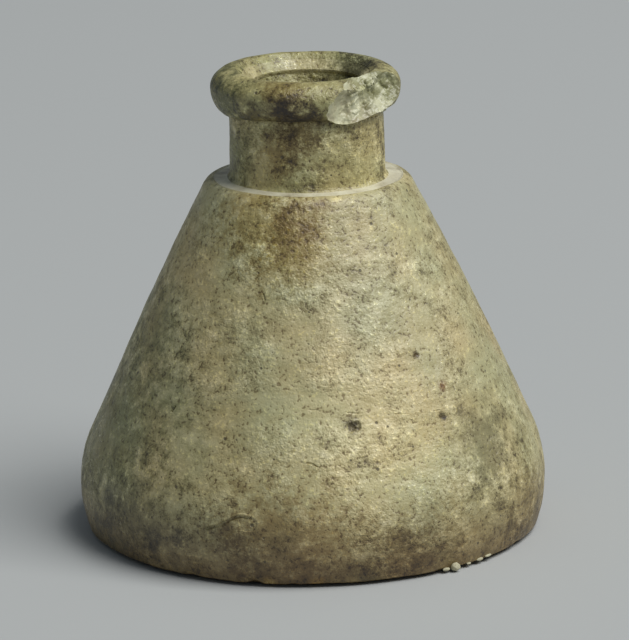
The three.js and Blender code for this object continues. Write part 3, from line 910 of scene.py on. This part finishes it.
# Hackle lines across the break: angles and heights of their points, and how far they stand up,
# in degrees and millimetres. A point is the break's nearest to one at this radius
UNDER_LINES = 14.2 * MM
FINER_LINE = 0.45 * MM
LINE_CREST = 0.12 * MM
LINE_FOOT = 0.4 * MM
HACKLES = (((32, 82.0), (38, 82.7), (45, 83.2), (53, 83.7), (61, 84.0), 0.35),
           ((33, 81.0), (40, 81.7), (47, 82.3), (54, 82.8), 0.25),
           ((31, 79.4), (37, 79.9), (42, 80.6), 0.2), ((36, 78.0), (42, 78.5), (48, 79.3), 0.2),
           ((48, 78.4), (54, 79.3), (59, 80.3), 0.2),
           ((62, 83.2), (67, 82.4), (72, 81.4), (76, 80.2), -0.4))
bpy.ops.object.mode_set(mode="OBJECT")
drawn_lines = [([rim.closest_point_on_mesh(at(degrees, UNDER_LINES, height * MM))[1]
                 for degrees, height in line[:-1]], line[-1]) for line in HACKLES]
bpy.ops.object.mode_set(mode="EDIT")
for path, height in drawn_lines:
    choose(rim, near_line(path, FINER_LINE, on_wall=False))
    bpy.ops.mesh.subdivide(number_cuts=1)
    choose(rim, near_line(path, LINE_CREST, on_wall=False))
    bpy.ops.transform.shrink_fatten(value=height * MM, use_proportional_edit=True,
                                    proportional_edit_falloff="SMOOTH", proportional_size=LINE_FOOT)
finish_piece(rim, "rim_roll")


# The folded edge inside the mouth: the glass was turned in and down before the rim was rolled.
# Its lower edge lies nearly flush with the bore and shows as a dark line.
FOLD_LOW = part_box("inner_fold")[0][2]
FOLD_INNER = 9.85 * MM
FOLD_LIP = FOLD_LOW + 0.5 * MM
LIP_ROUND = 0.25 * MM
FUNNEL_STEPS = 24
TOOL_RIDGE = 0.007 * MM

# The funnel is ridged by the tool, in two uneven rhythms
funnel = []
for i in range(FUNNEL_STEPS + 1):
    t = i / FUNNEL_STEPS
    ridge = TOOL_RIDGE * (math.sin(21 * t) + math.sin(47 * t + 1))
    funnel.append((FOLD_OUTER + (FOLD_INNER - FOLD_OUTER) * t + ridge,
                   MOUTH_EDGE + (FOLD_LIP + LIP_ROUND - MOUTH_EDGE) * t - ridge))
lip_section = [(FOLD_INNER - 0.02 * MM, FOLD_LIP), (FOLD_INNER + 0.08 * MM, FOLD_LIP - LIP_ROUND)]
fold_outline = ([(FOLD_INNER + 0.12 * MM, FOLD_LOW), (FOLD_OUTER, FOLD_LOW)] + funnel
                + lip_section)
fold = spun_shell("folded_edge", fold_outline + fold_outline[:1], NECK_SIDES)
hand_made(fold)
fold.data.materials.append(weathered_crust("crust_of_the_fold", MOUTH_PAINTED_LIGHT_AND_SHADE))
finish_piece(fold, "inner_fold")


# Grit: one round grain of pale stone from the ground and four flat crumbs, cemented to the
# front right of the heel.
def grit(name):
    """Pale sandstone grit, chalky and matt, each grain darker in its hollows."""
    material = bpy.data.materials.new(name)
    material.use_nodes = True
    tree = material.node_tree
    shader = tree.nodes["Principled BSDF"]
    place = add_node(tree, "TexCoord").outputs["Object"]
    cloud = add_node(tree, "TexNoise", {"Vector": place, "Scale": 1 / (0.5 * MM), "Detail": 4.0})
    colour = add_node(tree, "Mix", {0: cloud.outputs["Fac"], 6: linear("#938b6c"),
                                    7: linear("#dad6b8")}, data_type="RGBA")
    tree.links.new(colour.outputs[2], shader.inputs["Base Color"])
    shader.inputs["Roughness"].default_value = 0.85
    bump = add_node(tree, "Bump", {"Strength": 0.6, "Distance": 0.1 * MM,
                                   "Height": cloud.outputs["Fac"]})
    tree.links.new(bump.outputs["Normal"], shader.inputs["Normal"])
    return material


# Each crumb: an angle from the front, a height and the half sizes across, outwards and up, in
# millimetres. Its middle stands off the wall by three fifths of its half size outwards
STANDS_OFF = 0.6
ROUND_GRAIN_UP = 0.75
stone = grit("sandstone_grit")
CRUMBS = ((36.7, 0.95, 0.85, 0.8, ROUND_GRAIN_UP), (34.2, 0.75, 0.75, 0.35, 0.3),
          (41.5, 0.75, 0.5, 0.25, 0.2), (45.3, 0.9, 0.75, 0.3, 0.28), (48.3, 1.1, 0.85, 0.28, 0.25))
for number, (degrees, height, across, outwards, up) in enumerate(CRUMBS, 1):
    middle = on_body(degrees, height * MM) + at(degrees, outwards * STANDS_OFF * MM, 0)
    bpy.ops.object.select_all(action="DESELECT")
    bpy.ops.mesh.primitive_ico_sphere_add(subdivisions=4, radius=MM, location=middle,
                                          rotation=(0, 0, math.radians(degrees)),
                                          scale=(across, outwards, up))
    grain = bpy.context.object
    grain.name = f"grit_{number}"
    bpy.ops.object.transform_apply(location=True, rotation=True, scale=True)
    roughen(grain, f"lumps_{number}", 0.7 * MM, 0.3 * MM * up / ROUND_GRAIN_UP)
    roughen(grain, f"pocks_{number}", 0.25 * MM, 0.1 * MM)
    grain.data.materials.append(stone)
    finish_piece(grain, f"heel_grain_{number}", smooth=60)


# The plain floor, the light and the camera: a soft key from the right, a weak even fill, and
# a long lens about a metre away.
FLOOR_SIZE = 6.0
LAMP_TURN = math.radians(64)
LAMP_LEVEL = math.radians(58)
LAMP_DISTANCE = 4.0
LAMP_SIZE = 2.8
LAMP_POWER = 162.0
ROOM_LIGHT = 0.25
CAMERA_DISTANCE = 966.6 * MM
CAMERA_ELEVATION = math.radians(14.92)
CAMERA_ROLL = math.radians(-1.24)
CAMERA_TARGET = Vector((0.59 * MM, 0, 37.52 * MM))
LENS = 303.1

bpy.ops.object.select_all(action="DESELECT")
bpy.ops.mesh.primitive_plane_add(size=FLOOR_SIZE, location=(0, 0, 0))
table = bpy.context.object
table.name = "floor"
paper = bpy.data.materials.new("grey_card")
paper.use_nodes = True
paper.node_tree.nodes["Principled BSDF"].inputs["Base Color"].default_value = linear("#b4b6b4")
paper.node_tree.nodes["Principled BSDF"].inputs["Roughness"].default_value = 0.9
table.data.materials.append(paper)

# The lamp looks at the middle of the bottle from high on the right
lamp_away = Vector((math.sin(LAMP_TURN) * math.cos(LAMP_LEVEL),
                    -math.cos(LAMP_TURN) * math.cos(LAMP_LEVEL), math.sin(LAMP_LEVEL)))
lamp_data = bpy.data.lights.new("key", "AREA")
lamp_data.size = LAMP_SIZE
lamp_data.energy = LAMP_POWER
lamp = bpy.data.objects.new("key", lamp_data)
lamp.location = Vector((0, 0, 40 * MM)) + lamp_away * LAMP_DISTANCE
lamp.rotation_euler = lamp_away.to_track_quat("Z", "Y").to_euler()
bpy.context.scene.collection.objects.link(lamp)
world = bpy.data.worlds.new("soft_room")
world.use_nodes = True
world.node_tree.nodes["Background"].inputs["Color"].default_value = linear("#c8d4e0")
world.node_tree.nodes["Background"].inputs["Strength"].default_value = ROOM_LIGHT
bpy.context.scene.world = world

camera_data = bpy.data.cameras.new("camera")
camera_data.lens = LENS
camera_data.clip_start = 0.05
camera = bpy.data.objects.new("camera", camera_data)
bpy.context.scene.collection.objects.link(camera)
away = Vector((0, -math.cos(CAMERA_ELEVATION), math.sin(CAMERA_ELEVATION))) * CAMERA_DISTANCE
camera.matrix_world = (Matrix.Translation(CAMERA_TARGET + away)
                       @ Matrix.Rotation(math.pi / 2 - CAMERA_ELEVATION, 4, "X")
                       @ Matrix.Rotation(CAMERA_ROLL, 4, "Z"))
bpy.context.scene.camera = camera
bpy.context.scene.view_settings.view_transform = "Standard"
